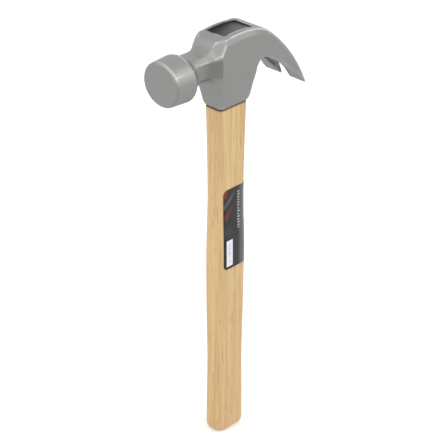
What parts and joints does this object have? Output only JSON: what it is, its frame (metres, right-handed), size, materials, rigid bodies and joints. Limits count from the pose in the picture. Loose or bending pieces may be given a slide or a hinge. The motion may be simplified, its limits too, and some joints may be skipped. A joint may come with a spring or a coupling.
{
  "type": "claw hammer",
  "caption": "Claw hammer: forged steel head with a round striking face and curved nail claws, wedged onto a straight-grained wooden handle with a printed wrap label.",
  "frame": {"origin": "centre of the flat on the handle's butt", "axes": "+Z along the handle to the head, -X the way the striking face looks, +X towards the claws, Y across"},
  "size_m": [0.1253, 0.0396, 0.3315],
  "materials": {
    "forged_steel": "satin, ground and clear coated",
    "handle_wood": "pale hardwood, thin clear lacquer",
    "wedge_wood": "sawn",
    "wedge_steel": "plain mild steel",
    "sealant_resin": "dark grey set resin",
    "label_vinyl": "printed vinyl"
  },
  "bodies": {
    "root": {"head": "forged_steel", "handle": "handle_wood", "wood_wedge": "wedge_wood", "steel_wedge_front": "wedge_steel", "steel_wedge_rear": "wedge_steel", "eye_sealant": "sealant_resin", "label": "label_vinyl"}
  },
  "joints": []
}
